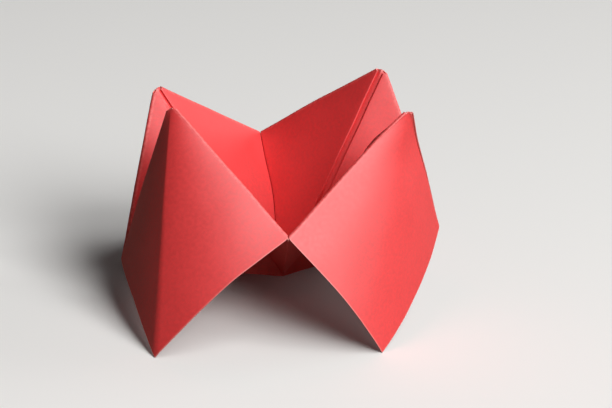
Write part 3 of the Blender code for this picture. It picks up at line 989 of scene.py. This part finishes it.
def paper_material(paper, folds):
    """Matt red paper with grain, fibres, rubbed folds and a paler cut edge, both of which carry a painted
    highlight.
    """
    material = bpy.data.materials.new("red_paper_sheet")
    material.use_nodes = True
    tree = Tree(material.node_tree)
    shader = material.node_tree.nodes["Principled BSDF"]
    sheet = Sheet(folds)

    flat = tree.add("ShaderNodeUVMap", uv_map=FLAT_MAP).outputs[0]
    parts = tree.add("ShaderNodeSeparateXYZ", {0: flat})
    across = tree.math("ABSOLUTE", parts.outputs["X"])
    along = tree.math("ABSOLUTE", parts.outputs["Y"])
    grain = flat_noise(tree, flat, paper.grain_size, detail=4.0)
    cloud = flat_noise(tree, flat, paper.grain_size * CLOUD_GRAINS, detail=2.0)
    fibre = fibre_pattern(tree, flat, paper)
    cut = tree.add("ShaderNodeAttribute", attribute_name=CUT_EDGE, attribute_type="GEOMETRY")

    base = (*paper.colour, 1.0)
    dark = tuple(DARK_SHARE * channel for channel in paper.colour) + (1.0,)
    pale = tuple(min(1.0, share * channel) for share, channel in zip(PALE_SHARES, paper.colour)) + (1.0,)
    fold_wear_and_highlight = (*paper.fold_wear_and_highlight_colour, 1.0)
    bare_and_highlight = (*paper.cut_edge_and_highlight_colour, 1.0)
    layers = (
        (tree.math("MULTIPLY", fibre, FIBRE_SHARE), pale),
        (tree.math("MULTIPLY", tree.ramp(cloud, *CLOUD_LEVELS), CLOUD_SHARE), pale),
        # Rubbed folds: wear together with a painted highlight along each fold
        (tree.math("MULTIPLY", rubbed_and_highlit_folds(tree, sheet, paper, across, along, grain), FOLD_WEAR_AND_HIGHLIGHT_SHARE), fold_wear_and_highlight),
        (rubbed_corners(tree, sheet, paper, across, along), bare_and_highlight),
        # Frayed rim beside the cut edge: fray together with a painted highlight
        (tree.math("MULTIPLY", frayed_and_highlit_rim(tree, sheet, paper, across, along), FRAY_AND_HIGHLIGHT_SHARE), bare_and_highlight),
        # Cut edge faces: their bare colour together with a painted highlight
        (tree.math("GREATER_THAN", cut.outputs["Fac"], 0.5), bare_and_highlight),
    )
    colour = tree.colour_mix(tree.ramp(grain, *GRAIN_LEVELS), dark, base)
    for share, layer in layers:
        colour = tree.colour_mix(share, colour, layer)

    rough = tree.add("ShaderNodeMapRange", {
        "Value": grain, "From Min": GRAIN_LEVELS[0], "From Max": GRAIN_LEVELS[1],
        "To Min": ROUGHNESS_RANGE[0], "To Max": ROUGHNESS_RANGE[1]})
    rise = tree.math(
        "ADD", tree.math("MULTIPLY", grain, GRAIN_RELIEF_SHARE),
        tree.math("MULTIPLY", fibre, FIBRE_RELIEF_SHARE))
    bump = tree.add("ShaderNodeBump", {"Strength": 1.0, "Distance": paper.relief, "Height": rise})

    links = material.node_tree.links
    links.new(colour, shader.inputs["Base Color"])
    links.new(rough.outputs[0], shader.inputs["Roughness"])
    links.new(bump.outputs[0], shader.inputs["Normal"])
    shader.inputs["IOR"].default_value = 1.7
    shader.inputs["Specular IOR Level"].default_value = 1.0
    material.diffuse_color = base
    return material


class FORTUNETELLER_OT_fold_paper(bpy.types.Operator):
    """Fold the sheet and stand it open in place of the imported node"""

    bl_idname = "fortuneteller.fold_paper"
    bl_label = "Fold the paper"

    def execute(self, context):
        folds = context.scene.fortune_folds
        paper = context.scene.fortune_paper
        folded = fold_sheet(folds)
        thicken(folded, folds)
        give_waves(folded, paper, context.scene.fortune_pushes, paper_material(paper, folds))
        as_plain_mesh(folded)
        fit_to_node(folded)
        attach(folded, "root")
        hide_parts(CAD_NODE)
        return {"FINISHED"}


def floor_material(stage):
    """Floor that is pale to the eye and gives back only weak, warm light."""
    material = bpy.data.materials.new("pale_floor")
    material.use_nodes = True
    tree = Tree(material.node_tree)
    shader = material.node_tree.nodes["Principled BSDF"]
    path = tree.add("ShaderNodeLightPath").outputs
    mirrored = tree.math("MULTIPLY", path["Is Glossy Ray"], stage.mirrored_share)
    seen = tree.math("MAXIMUM", path["Is Camera Ray"], path["Is Transmission Ray"])
    seen = tree.math("MAXIMUM", seen, mirrored)
    colour = tree.colour_mix(seen, (*stage.bounce_colour, 1.0), (*stage.floor_colour, 1.0))
    material.node_tree.links.new(colour, shader.inputs["Base Color"])
    shader.inputs["Roughness"].default_value = 0.9
    shader.inputs["Specular IOR Level"].default_value = 0.2
    return material


def set_floor(stage):
    """A wide flat floor under the object."""
    mesh = bpy.data.meshes.new("floor")
    reach = stage.floor_reach
    corners = [(x * reach, y * reach, 0.0) for x, y in ((-1, -1), (1, -1), (1, 1), (-1, 1))]
    mesh.from_pydata(corners, [], [(0, 1, 2, 3)])
    mesh.materials.append(floor_material(stage))
    floor = bpy.data.objects.new("floor", mesh)
    bpy.context.scene.collection.objects.link(floor)


def set_lamp(stage, lamp_name):
    """Square area lamp on its heading and rise that gives its strength at the object."""
    name = lamp_name + "_lamp"
    strength = getattr(stage, lamp_name + "_strength")
    distance = stage.lamp_distance
    lamp = bpy.data.lights.new(name, "AREA")
    lamp.shape = "SQUARE"
    lamp.size = stage.lamp_size
    lamp.energy = strength * math.pi * distance ** 2
    towards = heading_vector(*getattr(stage, lamp_name + "_way"))
    middle = (CAD_LOW + CAD_HIGH) / 2.0
    placed = bpy.data.objects.new(name, lamp)
    placed.location = middle + distance * towards
    placed.rotation_euler = towards.to_track_quat("Z", "Y").to_euler()
    bpy.context.scene.collection.objects.link(placed)


def set_world(stage):
    """Pale to the eye, and weak even light on the object."""
    world = bpy.data.worlds.new("studio")
    world.use_nodes = True
    tree = Tree(world.node_tree)
    back = world.node_tree.nodes["Background"]
    path = tree.add("ShaderNodeLightPath").outputs
    strength = tree.add("ShaderNodeMapRange", {
        "Value": path["Is Camera Ray"], "To Min": stage.ambient, "To Max": stage.backdrop})
    world.node_tree.links.new(strength.outputs[0], back.inputs["Strength"])
    back.inputs["Color"].default_value = (1.0, 1.0, 1.0, 1.0)
    bpy.context.scene.world = world


def set_camera(stage):
    """Camera at the photograph's viewing angle."""
    camera = bpy.data.cameras.new("camera")
    camera.lens = stage.camera_lens
    camera.sensor_width = SENSOR_WIDTH
    camera.clip_start = CLIP_START
    placed = bpy.data.objects.new("camera", camera)
    forward = heading_vector(math.pi / 2.0, -stage.camera_pitch)
    right = Vector((1.0, 0.0, 0.0))
    up = right.cross(forward)
    turned_right = math.cos(stage.camera_roll) * right + math.sin(stage.camera_roll) * up
    turned_up = math.cos(stage.camera_roll) * up - math.sin(stage.camera_roll) * right
    axes = Matrix((turned_right, turned_up, -forward)).transposed()
    placed.matrix_world = Matrix.Translation(stage.camera_place) @ axes.to_4x4()
    bpy.context.scene.collection.objects.link(placed)
    bpy.context.scene.camera = placed


class FORTUNETELLER_OT_set_stage(bpy.types.Operator):
    """Set the floor, the lamps, the background and the camera"""

    bl_idname = "fortuneteller.set_stage"
    bl_label = "Set the stage"

    def execute(self, context):
        stage = context.scene.fortune_stage
        set_floor(stage)
        for lamp_name in ("key", "high", "side"):
            set_lamp(stage, lamp_name)
        set_world(stage)
        set_camera(stage)
        context.scene.view_settings.view_transform = "Standard"
        return {"FINISHED"}


class FORTUNETELLER_PT_panel(bpy.types.Panel):
    """Sizes and colours of the fortune teller"""

    bl_label = "Fortune teller"
    bl_space_type = "VIEW_3D"
    bl_region_type = "UI"
    bl_category = "Fortune teller"

    def draw(self, context):
        scene = context.scene
        groups = (scene.fortune_folds, scene.fortune_paper, scene.fortune_pushes, scene.fortune_stage)
        for settings in groups:
            box = self.layout.box()
            for name in settings.__annotations__:
                box.prop(settings, name)
        self.layout.operator(FORTUNETELLER_OT_fold_paper.bl_idname)
        self.layout.operator(FORTUNETELLER_OT_set_stage.bl_idname)


CLASSES = (
    FoldSettings,
    PaperSettings,
    PushSettings,
    StageSettings,
    FORTUNETELLER_OT_fold_paper,
    FORTUNETELLER_OT_set_stage,
    FORTUNETELLER_PT_panel,
)


def register():
    """Register the classes and hang the settings on the scene."""
    for entry in CLASSES:
        bpy.utils.register_class(entry)
    bpy.types.Scene.fortune_folds = PointerProperty(type=FoldSettings)
    bpy.types.Scene.fortune_paper = PointerProperty(type=PaperSettings)
    bpy.types.Scene.fortune_pushes = PointerProperty(type=PushSettings)
    bpy.types.Scene.fortune_stage = PointerProperty(type=StageSettings)


def unregister():
    """Take the settings off the scene and unregister the classes."""
    del bpy.types.Scene.fortune_stage
    del bpy.types.Scene.fortune_pushes
    del bpy.types.Scene.fortune_paper
    del bpy.types.Scene.fortune_folds
    for entry in reversed(CLASSES):
        bpy.utils.unregister_class(entry)


def main():
    """Make the object and its stage."""
    register()
    bpy.ops.fortuneteller.fold_paper()
    bpy.ops.fortuneteller.set_stage()


if __name__ == "__main__":
    main()
